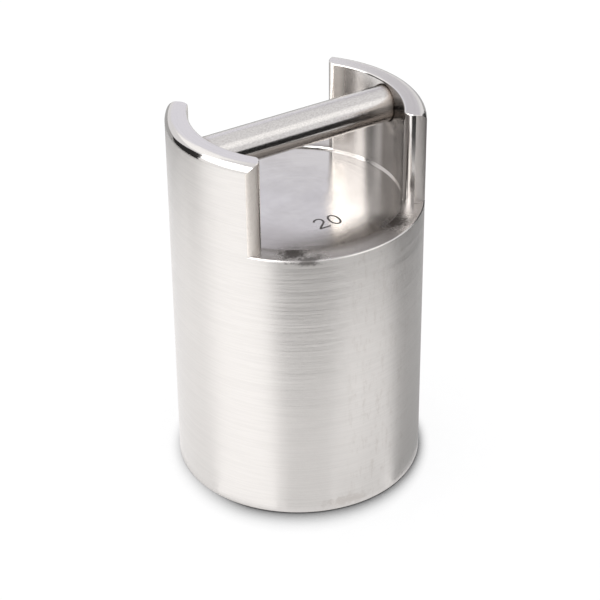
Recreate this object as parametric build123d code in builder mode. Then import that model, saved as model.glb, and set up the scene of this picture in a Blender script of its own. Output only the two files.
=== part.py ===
"""Twenty kilogram calibration weight: a turned stainless cylinder with a grip bar.

The frame has +Z up and its origin at the middle of the base. The grip bar lies along X,
and the two openings that a hand reaches through face -Y and +Y. All sizes are in
millimetres.
"""
import os

from build123d import *

# Turned blank
body_diameter = 137.0
overall_height = 213.4
shoulder_height = 161.2  # land left where the rim is milled away
base_chamfer = 0.8
shoulder_chamfer = 0.5  # broken outer edge of the land

# Polished recess inside the rim
rim_thickness = 12.0
recess_depth = 1.2  # recess floor below the land
lip_chamfer = 0.5  # broken edge between the land and the recess
floor_corner_radius = 0.6  # round that the turning tool leaves where the recess floor ends

# The two upstanding walls that the milling leaves
wall_half_angle = 40.6  # from the bar's axis to each milled end
wall_end_radius = 5.2  # upright round on each corner of a wall's ends
crown_radius = 5.0  # round on the rim's outer top edge
inner_rim_radius = 1.0  # round on the rim's inner top edge
end_break = 0.4  # broken top edge of the milled ends

# Grip bar and the two pockets that hold it
bar_diameter = 19.8
bar_end_chamfer = 0.6
seat_depth = 4.5  # how deep each end of the bar sits in its pocket
pocket_clearance = 0.3  # radial gap round the bar
pocket_chamfer = 0.4  # broken edge at each pocket's mouth
pocket_roof = 2.1  # metal left between each pocket and the rim's top
loading_clearance = 0.5  # spare depth when the bar is slipped in from one side

# Sizes that follow from those above
body_radius = body_diameter / 2
recess_radius = body_radius - rim_thickness
floor_height = shoulder_height - recess_depth
rim_height = overall_height - floor_height
pocket_radius = bar_diameter / 2 + pocket_clearance
bar_axis_height = overall_height - pocket_roof - pocket_radius
seat_end_x = recess_radius + seat_depth
loading_pocket_end_x = recess_radius + 2 * seat_depth + loading_clearance
reach = 2 * body_diameter  # longer than any cut has to be

# Rounds that the metal beside them limits
end_round = min(wall_end_radius, 0.47 * rim_thickness)
corner_round = min(floor_corner_radius, 0.9 * (recess_depth - lip_chamfer))

os.makedirs("parts", exist_ok=True)


# Body: one piece, turned, then milled through the rim at the front and the back
with BuildPart() as body:
    # What is left of the rim is two walls, with rounded upright corners at their ends
    with BuildSketch(Plane.XY.offset(floor_height)):
        Circle(body_radius)
        Circle(recess_radius, mode=Mode.SUBTRACT)
        for side in (90, 270):
            with BuildLine():
                near_end = PolarLine((0, 0), reach, side - 90 + wall_half_angle)
                far_end = PolarLine((0, 0), reach, side + 90 - wall_half_angle)
                Line(near_end @ 1, far_end @ 1)
            make_face(mode=Mode.SUBTRACT)
        fillet(vertices(), end_round)
    extrude(amount=rim_height)
    chamfer(faces().sort_by(Axis.Z)[-2:].edges(), end_break)

    # The rim's turned top: its outer and inner edges are rounded away
    with BuildSketch(Plane.XZ):
        with Locations((body_radius, overall_height)):
            Rectangle(2 * crown_radius, 2 * crown_radius)
        with Locations((body_radius - crown_radius, overall_height - crown_radius)):
            Circle(crown_radius, mode=Mode.SUBTRACT)
        with Locations((recess_radius, overall_height)):
            Rectangle(2 * inner_rim_radius, 2 * inner_rim_radius)
        with Locations((recess_radius + inner_rim_radius, overall_height - inner_rim_radius)):
            Circle(inner_rim_radius, mode=Mode.SUBTRACT)
    revolve(axis=Axis.Z, mode=Mode.SUBTRACT)

    # Solid cylinder below, with the shallow recess turned into its top
    with BuildSketch(Plane.XZ):
        with BuildLine():
            Polyline(
                (0, 0),
                (body_radius - base_chamfer, 0),
                (body_radius, base_chamfer),
                (body_radius, shoulder_height - shoulder_chamfer),
                (body_radius - shoulder_chamfer, shoulder_height),
                (recess_radius + lip_chamfer, shoulder_height),
                (recess_radius, shoulder_height - lip_chamfer),
                (recess_radius, floor_height),
                (0, floor_height),
                close=True,
            )
        make_face()
        floor_corner = vertices().sort_by_distance((recess_radius, 0, floor_height))[0]
        fillet(floor_corner, corner_round)
    revolve(axis=Axis.Z)

    # Blind pockets for the bar. The one at +X is deeper, so that the bar can be slipped
    # into it and then drawn back into the one at -X
    for outward, pocket_end_x in ((1, loading_pocket_end_x), (-1, seat_end_x)):
        with BuildSketch(Plane.YZ):
            with Locations((0, bar_axis_height)):
                Circle(pocket_radius)
        extrude(amount=outward * pocket_end_x, mode=Mode.SUBTRACT)
        mouth = edges(Select.LAST).filter_by(GeomType.BSPLINE)
        chamfer(mouth, pocket_chamfer)
body.part.label = "body"

# Grip bar: a plain rod between the walls
with BuildPart() as handle_bar:
    with BuildSketch(Plane.YZ.offset(-seat_end_x)):
        with Locations((0, bar_axis_height)):
            Circle(bar_diameter / 2)
    extrude(amount=2 * seat_end_x)
    chamfer(edges().filter_by(GeomType.CIRCLE), bar_end_chamfer)
handle_bar.part.label = "handle_bar"

for piece in (body, handle_bar):
    export_step(piece.part, f"parts/{piece.part.label}.step")
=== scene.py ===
import math

import bmesh
import bpy
from mathutils import Matrix, Vector


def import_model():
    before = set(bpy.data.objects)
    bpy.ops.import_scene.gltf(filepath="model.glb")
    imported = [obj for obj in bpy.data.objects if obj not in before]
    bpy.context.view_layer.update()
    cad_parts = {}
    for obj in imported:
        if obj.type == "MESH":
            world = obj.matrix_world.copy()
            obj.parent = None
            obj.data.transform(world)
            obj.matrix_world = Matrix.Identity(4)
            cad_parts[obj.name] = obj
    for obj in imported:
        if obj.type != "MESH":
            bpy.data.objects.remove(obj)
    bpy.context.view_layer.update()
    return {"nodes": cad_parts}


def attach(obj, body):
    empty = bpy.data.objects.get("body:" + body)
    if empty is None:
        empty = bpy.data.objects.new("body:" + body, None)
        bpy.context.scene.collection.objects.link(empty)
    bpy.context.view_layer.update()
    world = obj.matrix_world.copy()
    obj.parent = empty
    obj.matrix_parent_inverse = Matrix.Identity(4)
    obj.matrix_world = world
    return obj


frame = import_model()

MM = 0.001

# ---------------------------------------------------------------- the object's own sizes, in millimetres
BODY_RADIUS = 68.5
BODY_HEIGHT = 213.4
SHOULDER_Z = 161.2
FLOOR_Z = 160.0
RECESS_RADIUS = 56.5

# ---------------------------------------------------------------- the photograph's view
VIEW_AZIMUTH = math.radians(-31.9)  # the way the camera looks, turned from +Y
RIGHT = Vector((math.cos(VIEW_AZIMUTH), math.sin(VIEW_AZIMUTH), 0))
AHEAD = Vector((-math.sin(VIEW_AZIMUTH), math.cos(VIEW_AZIMUTH), 0))
CAMERA_LENS = 122.54  # for a sensor 36 mm wide
CAMERA_AIM = Vector((0.00113, -0.0007, 0.09521))
CAMERA_RISE = 32.18
CAMERA_DISTANCE = 1.1269
CAMERA_ROLL = math.radians(-0.542)

# ---------------------------------------------------------------- the paper's own light, where 1 is white
PAPER_SEEN = 0.812  # added to the light that the paper scatters
PAPER_MIRRORED = 1.05


# ---------------------------------------------------------------- node helpers
class Nodes:
    """Short calls for building one node tree."""

    def __init__(self, tree):
        self.tree = tree
        tree.nodes.clear()

    def put(self, socket, value):
        if isinstance(value, bpy.types.NodeSocket):
            self.tree.links.new(value, socket)
        elif value is not None:
            socket.default_value = value

    def add(self, kind, inputs=None, **settings):
        node = self.tree.nodes.new(kind)
        for name, value in settings.items():
            setattr(node, name, value)
        for name, value in (inputs or {}).items():
            self.put(node.inputs[name], value)
        return node

    def math(self, operation, a, b=None, c=None, clamp=False):
        node = self.add("ShaderNodeMath", operation=operation, use_clamp=clamp)
        for i, value in enumerate((a, b, c)):
            self.put(node.inputs[i], value)
        return node.outputs[0]

    def vector(self, operation, a, b=None, scale=None):
        node = self.add("ShaderNodeVectorMath", operation=operation)
        self.put(node.inputs[0], a)
        self.put(node.inputs[1], b)
        if scale is not None:
            self.put(node.inputs["Scale"], scale)
        one_number = operation in ("DOT_PRODUCT", "LENGTH", "DISTANCE")
        return node.outputs["Value" if one_number else "Vector"]

    def xyz(self, vector):
        return self.add("ShaderNodeSeparateXYZ", {"Vector": vector}).outputs[:3]

    def combine(self, x, y, z):
        return self.add("ShaderNodeCombineXYZ", {"X": x, "Y": y, "Z": z}).outputs[0]

    def step(self, value, start, end):
        """0 below start and 1 above end, with a smooth step between; it falls if start is above end."""
        low, high = min(start, end), max(start, end)
        first, last = (0.0, 1.0) if start < end else (1.0, 0.0)
        inputs = {"Value": value, "From Min": low, "From Max": high, "To Min": first, "To Max": last}
        return self.add("ShaderNodeMapRange", inputs, interpolation_type="SMOOTHSTEP").outputs[0]

    def span(self, value, start, end, soft):
        """1 between start and end, 0 outside."""
        return self.all(self.step(value, start - soft, start + soft), self.step(value, end + soft, end - soft))

    def all(self, first, *others):
        for other in others:
            first = self.math("MULTIPLY", first, other)
        return first

    def any(self, first, *others):
        for other in others:
            first = self.math("MAXIMUM", first, other)
        return first

    def invert(self, value):
        return self.math("SUBTRACT", 1.0, value)

    def mix(self, factor, a, b):
        node = self.add("ShaderNodeMix", data_type="FLOAT", clamp_factor=True)
        for i, value in ((0, factor), (2, a), (3, b)):
            self.put(node.inputs[i], value)
        return node.outputs[0]

    def mix_vector(self, factor, a, b):
        node = self.add("ShaderNodeMix", data_type="VECTOR", clamp_factor=True)
        for i, value in ((0, factor), (4, a), (5, b)):
            self.put(node.inputs[i], value)
        return node.outputs[1]

    def tint(self, factor, a, b, blend="MIX"):
        node = self.add("ShaderNodeMix", data_type="RGBA", blend_type=blend, clamp_factor=True)
        for i, value in ((0, factor), (6, a), (7, b)):
            self.put(node.inputs[i], (*value, 1.0) if isinstance(value, tuple) and len(value) == 3 else value)
        return node.outputs[2]

    def noise(self, vector, scale, detail=2.0, roughness=0.5):
        inputs = {"Vector": vector, "Scale": scale, "Detail": detail, "Roughness": roughness}
        return self.add("ShaderNodeTexNoise", inputs).outputs[0]

    def stretched_noise(self, coordinates, scales, detail, roughness):
        """Noise with a scale of its own along each of three coordinates."""
        return self.noise(self.vector("MULTIPLY", self.combine(*coordinates), scales), 1.0, detail, roughness)

    def swing(self, value, size):
        """The value's distance from a half, times size."""
        return self.math("MULTIPLY", self.math("SUBTRACT", value, 0.5), size)

    def lean(self, normal, along, tilt):
        """The normal, leaning along a vector by tilt."""
        return self.vector("NORMALIZE", self.vector("ADD", normal, self.vector("SCALE", along, scale=tilt)))

    def blot(self, point, centre, size, ragged, depth):
        """1 inside an ellipsoid whose edge wanders with the noise value ragged."""
        apart = self.vector("LENGTH", self.vector("DIVIDE", self.vector("SUBTRACT", point, centre), size))
        return self.step(self.math("ADD", apart, self.swing(ragged, depth)), 1.25, 0.35)

    def metal(self, colour, roughness, normal, metallic=1.0):
        """The material's surface."""
        inputs = {"Base Color": colour, "Metallic": metallic, "Roughness": roughness, "Normal": normal}
        self.surface(self.add("ShaderNodeBsdfPrincipled", inputs))

    def surface(self, node):
        self.add("ShaderNodeOutputMaterial", {"Surface": node.outputs[0]})


def new_material(name):
    material = bpy.data.materials.new(name)
    material.use_nodes = True
    return material, Nodes(material.node_tree)


def new_object(name, mesh):
    made = bpy.data.objects.new(name, mesh)
    bpy.context.scene.collection.objects.link(made)
    return made


# ---------------------------------------------------------------- body steel
UP = (0.0, 0.0, 1.0)
STEEL = (0.585, 0.563, 0.546)
FILM_AND_PAINTED_SHADE = (0.165, 0.142, 0.128)


def body_steel():
    material, n = new_material("turned_stainless_steel")
    place = n.add("ShaderNodeTexCoord").outputs["Object"]
    point = n.vector("SCALE", place, scale=1000.0)
    x, y, z = n.xyz(point)
    normal = n.add("ShaderNodeNewGeometry").outputs["Normal"]
    radius = n.math("SQRT", n.math("ADD", n.math("MULTIPLY", x, x), n.math("MULTIPLY", y, y)))
    outward = n.vector("NORMALIZE", n.combine(x, y, 0.0))
    unit_x, unit_y, _ = n.xyz(outward)
    around = n.vector("CROSS_PRODUCT", UP, outward)
    faces_up = n.xyz(normal)[2]
    faces_out = n.vector("DOT_PRODUCT", normal, outward)
    faces_round = n.math("ABSOLUTE", n.vector("DOT_PRODUCT", normal, around))

    # Where each finish is
    level = n.step(faces_up, 0.75, 0.95)
    wall = n.step(faces_out, 0.80, 0.97)
    inner_wall = n.step(faces_out, -0.5, -0.8)
    wing_end = n.all(n.step(faces_round, 0.09, 0.15), n.step(z, SHOULDER_Z, SHOULDER_Z + 0.4))
    satin_end = n.all(wing_end, n.step(faces_out, 0.02, 0.08))
    far_end = n.all(inner_wall, n.step(unit_y, 0.46, 0.56), n.step(z, SHOULDER_Z + 3.0, SHOULDER_Z + 12.0))
    above = n.step(z, SHOULDER_Z + 0.6, SHOULDER_Z + 1.2)
    recess_floor = n.all(level, n.invert(above), n.step(radius, RECESS_RADIUS + 0.2, RECESS_RADIUS - 0.2))
    land = n.all(level, n.invert(above), n.step(radius, RECESS_RADIUS - 0.2, RECESS_RADIUS + 0.2))
    crown = n.all(n.step(z, BODY_HEIGHT - 4.6, BODY_HEIGHT - 4.2), n.step(faces_up, 0.10, 0.2),
                  n.step(faces_up, 1.0, 0.80))
    lip = n.all(n.span(radius, RECESS_RADIUS - 0.65, RECESS_RADIUS + 0.6, 0.05),
                n.span(z, FLOOR_Z + 0.06, SHOULDER_Z - 0.01, 0.03))

    # Turned lines: they run round the axis, so they change along z on a wall and along the radius on a flat
    across = n.math("ADD", z, radius)
    fine_lines = n.stretched_noise((unit_x, unit_y, across), (1.0, 1.0, 52.0), 1.0, 0.5)
    coarse_lines = n.stretched_noise((unit_x, unit_y, across), (1.6, 1.6, 2.4), 3.0, 0.75)
    wall_lines = n.stretched_noise((unit_x, unit_y, z), (2.4, 2.4, 1.3), 2.0, 0.6)
    broad_lines = n.mix(wall, coarse_lines, wall_lines)
    # Ground lines on the milled ends run upright
    upright_lines = n.stretched_noise((x, y, z), (26.0, 26.0, 0.4), 1.0, 0.5)
    lines = n.mix(wing_end, fine_lines, upright_lines)
    across_lines = n.vector("CROSS_PRODUCT", normal, around)
    across_lines = n.mix_vector(wing_end, across_lines, n.vector("CROSS_PRODUCT", normal, UP))

    # Each finish's steepness of lines and its roughness, over those of the corners between them
    slope, roughness = 0.3, 0.19
    for finish, its_slope, its_roughness in (
            (wall, 1.3, 0.33), (inner_wall, 0.05, n.mix(far_end, 0.20, 0.40)), (recess_floor, 0.35, 0.13),
            (land, 0.6, 0.26), (wing_end, 0.12, 0.12), (satin_end, 2.4, 0.44), (n.any(crown, lip), 0.08, 0.09)):
        slope = n.mix(finish, slope, its_slope)
        roughness = n.mix(finish, roughness, its_roughness)
    tilt = n.math("ADD", n.swing(lines, slope), n.swing(broad_lines, n.mix(n.any(wall, inner_wall), 0.035, 0.018)))
    bent = n.lean(normal, across_lines, tilt)
    roughness = n.math("ADD", roughness, n.swing(coarse_lines, 0.06))

    # Grey film on the land, thickest by the lip and worn off by two of the walls' feet
    ragged = n.noise(point, 0.35, 6.0, 0.72)
    film = n.all(land, n.mix(n.step(radius, 58.0, 62.5), 0.62, 0.26), n.step(radius, 68.2, 66.9),
                 n.mix(ragged, 0.8, 1.2))
    for worn in ((44.0, -43.0, SHOULDER_Z), (-45.0, 42.0, SHOULDER_Z)):
        film = n.all(film, n.invert(n.blot(point, worn, (9.0, 9.0, 20.0), ragged, 0.6)))
    # Painted shade on the wall's inside by the bar's deeper pocket, and painted shade in the film's colour on the
    # recess floor's front left
    painted_shade_beside_bar = n.all(inner_wall, n.invert(lip), n.step(unit_x, 0.70, 0.80), n.step(unit_y, 0.10, 0.0),
                       n.mix(ragged, 0.85, 1.15), 0.66)
    frontness = n.vector("DOT_PRODUCT", point, tuple(-AHEAD))
    rightness = n.vector("DOT_PRODUCT", point, tuple(RIGHT))
    painted_floor_shade = n.all(recess_floor, n.step(frontness, 22.0, 46.0), n.step(rightness, 20.0, -8.0),
                 n.mix(ragged, 0.85, 1.15), 0.42)
    # Dark grime where dirt is left in front of the walls' feet
    grime = n.any(n.blot(point, (-34.0, -50.5, SHOULDER_Z), (7.5, 7.5, 3.0), ragged, 2.4),
                  n.all(n.blot(point, (-31.5, -60.5, SHOULDER_Z), (10.0, 4.5, 3.0), ragged, 2.4), 0.8),
                  n.blot(point, (28.0, -52.0, SHOULDER_Z), (8.5, 6.5, 3.0), ragged, 2.4),
                  n.blot(point, (33.0, 52.0, SHOULDER_Z), (7.5, 6.0, 3.0), ragged, 1.5))
    grime = n.all(grime, n.invert(inner_wall), n.mix(n.noise(point, 1.6, 3.0, 0.7), 0.75, 1.15))

    # Brown stains on the wall: faint ones right of the middle, and one by the base
    blotches = n.stretched_noise((x, y, z), (0.32, 0.32, 0.11), 5.0, 0.75)
    right_of_middle = n.step(n.vector("DOT_PRODUCT", outward, (0.174, -0.985, 0.0)), 0.92, 0.975)
    stains = n.any(n.all(wall, right_of_middle, n.step(blotches, 0.50, 0.68), 0.16),
                   n.all(n.blot(point, (-10.5, -67.4, 5.2), (14.0, 6.0, 3.6), ragged, 3.2), 0.20))

    streaks = n.tint(n.step(broad_lines, 0.35, 0.65), (0.97, 0.97, 0.97), (1.02, 1.02, 1.02))
    cloud = n.step(n.noise(point, 0.045, 3.0, 0.6), 0.35, 0.65)
    plain = n.tint(recess_floor, STEEL, n.tint(cloud, (0.490, 0.472, 0.457), (0.545, 0.525, 0.509)))
    # Painted light: the satin ends are coloured lighter on the left wing and darker on the right wing
    plain = n.tint(satin_end, plain, n.tint(n.step(x, -1.0, 1.0), (0.82, 0.765, 0.715), (0.64, 0.605, 0.580)))
    # Painted light: the far part of the inner walls is coloured lighter
    plain = n.tint(far_end, plain, (0.90, 0.85, 0.80))
    # Painted highlight: the lip is coloured lighter
    plain = n.tint(lip, plain, (0.90, 0.88, 0.86))
    colour = n.tint(1.0, plain, streaks, "MULTIPLY")
    # The land's film, and the painted shade on the recess floor's front left
    colour = n.tint(n.any(film, painted_floor_shade), colour, FILM_AND_PAINTED_SHADE)
    # Painted shade on the wall's inside beside the bar
    colour = n.tint(painted_shade_beside_bar, colour, (0.13, 0.11, 0.095))
    colour = n.tint(stains, colour, (0.24, 0.185, 0.145))
    colour = n.tint(n.all(grime, 0.92), colour, (0.035, 0.028, 0.024))
    roughness = n.mix(grime, roughness, 0.48)

    n.metal(colour, roughness, bent)
    return material


def bar_steel():
    material, n = new_material("satin_stainless_bar")
    place = n.add("ShaderNodeTexCoord").outputs["Object"]
    point = n.vector("SCALE", place, scale=1000.0)
    x, y, z = n.xyz(point)
    normal = n.add("ShaderNodeNewGeometry").outputs["Normal"]
    lines = n.stretched_noise((x, y, z), (31.0, 0.12, 0.12), 1.0, 0.5)
    grain = n.stretched_noise((x, y, z), (0.9, 1.6, 1.6), 4.0, 0.75)
    bent = n.lean(normal, (1.0, 0.0, 0.0), n.swing(lines, 0.9))
    roughness = n.math("ADD", 0.155, n.swing(grain, 0.10))
    colour = n.tint(n.step(grain, 0.3, 0.7), (0.50, 0.48, 0.465), (0.625, 0.602, 0.584))
    # Painted dark reflection as a brown band along the lower side, faint right underneath, and browner towards both
    # ends, where the bar meets the walls
    faces_up = n.xyz(normal)[2]
    painted_dark_band = n.mix(n.step(faces_up, -0.45, -0.75), n.step(faces_up, 0.22, -0.35), 0.2)
    colour = n.tint(n.all(painted_dark_band, 0.66), colour, (0.115, 0.088, 0.070))
    browner_ends = n.all(n.step(n.math("ADD", n.math("ABSOLUTE", x), n.math("MULTIPLY", grain, 3.0)), 53.5, 58.0), 0.6)
    colour = n.tint(browner_ends, colour, (0.20, 0.15, 0.115))
    n.metal(colour, roughness, bent)
    return material


def dress(node, material):
    mesh = frame["nodes"][node].data
    mesh.materials.clear()
    mesh.materials.append(material)


dress("body", body_steel())
dress("handle_bar", bar_steel())


# ---------------------------------------------------------------- the etched number on the recess floor
def arc(centre, radii, start, end, steps=40):
    """Points on an ellipse between two angles in degrees."""
    turns = [math.radians(start + (end - start) * i / steps) for i in range(steps + 1)]
    return [(centre[0] + radii[0] * math.cos(t), centre[1] + radii[1] * math.sin(t)) for t in turns]


def smooth(points, rounds=3):
    """Corner cutting, with the two ends kept."""
    for _ in range(rounds):
        cut = [points[0]]
        for (ax, ay), (bx, by) in zip(points, points[1:]):
            cut += [(0.75 * ax + 0.25 * bx, 0.75 * ay + 0.25 * by),
                    (0.25 * ax + 0.75 * bx, 0.25 * ay + 0.75 * by)]
        points = cut + [points[-1]]
    return points


def stroke(grid, points, width, closed, low, high):
    """A flat strip of even width along points, as a closed solid from low to high. All in millimetres."""
    count = len(points)
    rings = []
    for i, (x, y) in enumerate(points):
        before = points[i - 1] if closed or i else points[0]
        after = points[(i + 1) % count] if closed or i < count - 1 else points[-1]
        along = Vector((after[0] - before[0], after[1] - before[1])).normalized()
        side = Vector((-along.y, along.x)) * width / 2
        rings.append([grid.verts.new(Vector((x + s * side.x, y + s * side.y, z)) * MM)
                      for s, z in ((1, low), (-1, low), (-1, high), (1, high))])
    for i in range(count if closed else count - 1):
        a, b = rings[i], rings[(i + 1) % count]
        for k in range(4):
            grid.faces.new((a[k], a[(k + 1) % 4], b[(k + 1) % 4], b[k]))
    if not closed:
        grid.faces.new(rings[0][::-1])
        grid.faces.new(rings[-1])


def etched_number():
    grid = bmesh.new()
    width, proud = 1.15, 0.03
    low, high = FLOOR_Z - proud, FLOOR_Z + proud
    hook = smooth([(-6.66, -27.66), (-5.6, -26.1), (-3.6, -25.7), (-1.9, -26.6), (-1.5, -28.6),
                   (-2.3, -30.5), (-4.92, -32.6), (-7.13, -34.8)])
    stroke(grid, hook, width, False, low, high)
    stroke(grid, [(-7.45, -34.95), (-0.84, -35.1)], width, False, low, high)
    stroke(grid, arc((4.05, -30.7), (2.65, 4.6), 0, 360, 48)[:-1], width, True, low, high)
    bmesh.ops.recalc_face_normals(grid, faces=grid.faces)
    mesh = bpy.data.meshes.new("etched_number")
    grid.to_mesh(mesh)
    grid.free()
    made = new_object("etched_number", mesh)
    material, n = new_material("etched_dark_mark")
    place = n.add("ShaderNodeTexCoord").outputs["Object"]
    patchy = n.noise(place, 1500.0, 3.0, 0.6)
    bump = n.add("ShaderNodeBump", {"Height": patchy, "Strength": 0.3, "Distance": 0.00005})
    n.metal(n.tint(n.step(patchy, 0.35, 0.65), (0.055, 0.050, 0.048), (0.12, 0.11, 0.105)),
            n.mix(patchy, 0.35, 0.6), bump.outputs[0], metallic=0.4)
    mesh.materials.append(material)
    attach(made, "root")


etched_number()


# ---------------------------------------------------------------- stage
TABLE_REACH = 0.25  # how far from the wall a table card's light changes
CARD_STEPS = 72


def plain_emission(name, radiance):
    """Light of one level, of one colour for three numbers, or from the wall's foot to TABLE_REACH off for two."""
    material, n = new_material(name)
    if isinstance(radiance, tuple) and len(radiance) == 3:
        emission = n.add("ShaderNodeEmission", {"Color": (*radiance, 1.0)})
    elif isinstance(radiance, tuple):
        place = n.add("ShaderNodeTexCoord").outputs["Object"]
        foot = BODY_RADIUS * MM
        away = n.add("ShaderNodeMapRange", {
            "Value": n.vector("LENGTH", place), "From Min": foot, "From Max": foot + TABLE_REACH,
            "To Min": radiance[0], "To Max": radiance[1]}).outputs[0]
        emission = n.add("ShaderNodeEmission", {"Strength": away})
    else:
        emission = n.add("ShaderNodeEmission", {"Color": (radiance, radiance, radiance, 1.0)})
    n.surface(emission)
    return material


def floor_white():
    """White paper: it takes the object's soft shadow, and whatever sees it directly also gets its own light, which
    carries a painted contact shadow for the camera.
    """
    material, n = new_material("studio_paper")
    path = n.add("ShaderNodeLightPath").outputs
    place = n.add("ShaderNodeTexCoord").outputs["Object"]
    mirrored = n.any(path["Is Glossy Ray"], path["Is Transmission Ray"])
    tone = n.tint(n.noise(place, 90.0, 2.0), (0.19, 0.19, 0.19), (0.21, 0.21, 0.21))
    paper = n.add("ShaderNodeBsdfDiffuse", {"Color": tone})
    # The paper's own light carries a painted contact shadow, widest in front and lightest on the left, the big
    # light's side
    compass = n.vector("NORMALIZE", place)
    frontness = n.math("MAXIMUM", n.vector("DOT_PRODUCT", compass, tuple(-AHEAD)), 0.0)
    leftness = n.vector("DOT_PRODUCT", compass, tuple(-RIGHT))
    reach = n.math("MULTIPLY_ADD", n.all(frontness, frontness), 0.011, 0.007)
    open_sky = n.add("ShaderNodeAmbientOcclusion", {"Distance": reach}, samples=8).outputs["AO"]
    hidden = n.math("POWER", n.math("MULTIPLY", n.invert(open_sky), 2.0, clamp=True), 1.5)
    shaded = n.all(hidden, n.mix(n.step(leftness, 0.35, 0.9), 1.0, 0.4))
    seen = n.all(path["Is Camera Ray"], n.invert(shaded), PAPER_SEEN)
    # Mirrored in the object, the paper is dark only in the narrow gap below the base chamfer
    beside = n.step(n.vector("LENGTH", place), (BODY_RADIUS - 0.2) * MM, (BODY_RADIUS + 1.2) * MM)
    light = n.add("ShaderNodeEmission", {"Strength": n.math("ADD", seen, n.all(mirrored, beside, PAPER_MIRRORED))})
    both = n.add("ShaderNodeAddShader", {0: paper.outputs[0], 1: light.outputs[0]})
    n.surface(both)
    return material


def direction(turn, rise):
    """Unit vector: turn is in degrees from the camera's side, positive to its right; rise is above the level."""
    turn, rise = math.radians(turn), math.radians(rise)
    flat = RIGHT * math.sin(turn) - AHEAD * math.cos(turn)
    return flat * math.cos(rise) + Vector((0, 0, math.sin(rise)))


def stage_card(name, columns, radiance):
    """A sheet through columns of points in metres, that only reflections in the object show."""
    height = len(columns[0])
    faces = [(i * height + j, (i + 1) * height + j, (i + 1) * height + j + 1, i * height + j + 1)
             for i in range(len(columns) - 1) for j in range(height - 1)]
    mesh = bpy.data.meshes.new(name)
    mesh.from_pydata([tuple(point) for column in columns for point in column], [], faces)
    mesh.materials.append(plain_emission(name, radiance))
    made = new_object(name, mesh)
    made.visible_camera = made.visible_diffuse = made.visible_shadow = False


def card(name, rows, radiance):
    """A curved card round the object. Each row, from the lowest up, is (distance, height, first turn, last turn)."""
    columns = []
    for i in range(CARD_STEPS + 1):
        columns.append([direction(first + (last - first) * i / CARD_STEPS, 0) * distance + Vector((0, 0, height))
                        for distance, height, first, last in rows])
    stage_card(name, columns, radiance)


def table_card(name, facings, radiance):
    """The part of the table that the wall shows between two of its facings, at every height alike.

    The camera sees a piece of wall with facing f reflect towards 2 f, so the card's two sides run that way.
    """
    columns = []
    for i in range(CARD_STEPS + 1):
        facing = facings[0] + (facings[1] - facings[0]) * i / CARD_STEPS
        foot = direction(facing, 0) * (BODY_RADIUS + 1) * MM + Vector((0, 0, 0.001))
        columns.append([foot + direction(2 * facing, 0) * run for run in (0.001, 0.1, 0.2, 0.40)])
    stage_card(name, columns, radiance)


floor_mesh = bpy.data.meshes.new("floor")
floor_grid = bmesh.new()
bmesh.ops.create_circle(floor_grid, cap_ends=True, segments=96, radius=9.0)
floor_grid.to_mesh(floor_mesh)
floor_grid.free()
floor_mesh.materials.append(floor_white())
floor = new_object("floor", floor_mesh)

# Table, softboxes and dark room edges as the polished parts and the bar show them
card("far_table_left", ((0.49, 0.002, -84, -20), (0.50, 0.20, -83, -20), (0.50, 0.27, -80, -20)), 1.30)
card("softbox_left", ((0.50, 0.28, -80, -20), (0.50, 0.38, -83, -20), (0.50, 0.50, -87.5, -20)), 3.0)
card("softbox_left_top", ((0.50, 0.50, -87.5, -20), (0.52, 0.62, -97, -20), (0.55, 0.80, -97, -20),
                          (0.40, 1.00, -97, -20)), 4.3)
card("softbox_behind_left", ((0.50, 0.50, -140, -106), (0.50, 0.60, -142, -99), (0.50, 0.66, -164, -97),
                             (0.50, 1.00, -164, -97)), 1.55)
card("cool_backdrop", ((0.50, 0.40, 175, 214), (0.50, 0.66, 175, 214)), (1.10, 1.10, 1.20))
card("cool_backdrop_shaded", ((0.50, 0.42, 146, 175), (0.50, 0.66, 146, 175)), (0.80, 0.79, 0.85))
card("shaded_table_behind", ((0.30, 0.003, 148, 205), (0.399, 0.003, 148, 205)), 0.95)
card("dark_horizon_left", ((0.48, 0.002, -134, -84), (0.49, 0.14, -134, -83), (0.49, 0.19, -124, -82.5),
                           (0.49, 0.25, -112, -81), (0.49, 0.35, -104, -82.5), (0.49, 0.45, -97, -86),
                           (0.49, 0.49, -90, -88)), 0.04)
card("dark_horizon", ((0.345, 0.002, -20, 145), (0.50, 0.20, -20, 145)), 0.02)
card("grey_horizon_behind", ((0.40, 0.002, 145, 242), (0.50, 0.24, 145, 242)), 0.55)
card("second_softbox", ((0.60, 0.50, 50, 88), (0.60, 1.08, 50, 88)), 1.60)
card("dark_room_camera_side", ((0.6, 0.2, -12, 36), (0.6, 0.8, -12, 36)), 0.6)
card("dark_room_right", ((0.51, 0.20, 88, 143), (0.51, 0.35, 88, 143)), 0.12)
# The table round the foot, as the wall shows it
table_card("table_behind_left", (-63, -42), (1.21, 1.40))
table_card("lit_table_left", (-42, -10.5), (1.56, 1.78))
table_card("table_camera_side", (-6, 15.5), (1.06, 1.25))
table_card("table_front_right", (18, 31), (1.08, 1.72))
table_card("table_right", (31, 44.5), (1.03, 1.50))
table_card("shaded_table_right", (50, 88), (0.52, 0.72))


def world():
    made = bpy.data.worlds.new("studio")
    bpy.context.scene.world = made
    made.use_nodes = True
    n = Nodes(made.node_tree)
    background = n.add("ShaderNodeBackground", {"Color": (1.10, 1.10, 1.12, 1.0)})
    n.add("ShaderNodeOutputWorld", {"Surface": background.outputs[0]})


world()

# ---------------------------------------------------------------- camera
camera_data = bpy.data.cameras.new("camera")
camera_data.lens = CAMERA_LENS
camera_data.sensor_width = 36.0
camera = new_object("camera", camera_data)
back = direction(0, CAMERA_RISE)
level_view = (-back).to_track_quat("-Z", "Y").to_matrix()
camera.matrix_world = Matrix.Translation(CAMERA_AIM + back * CAMERA_DISTANCE) @ (
    level_view @ Matrix.Rotation(CAMERA_ROLL, 3, "Z")).to_4x4()
bpy.context.scene.camera = camera
bpy.context.scene.view_settings.view_transform = "Standard"
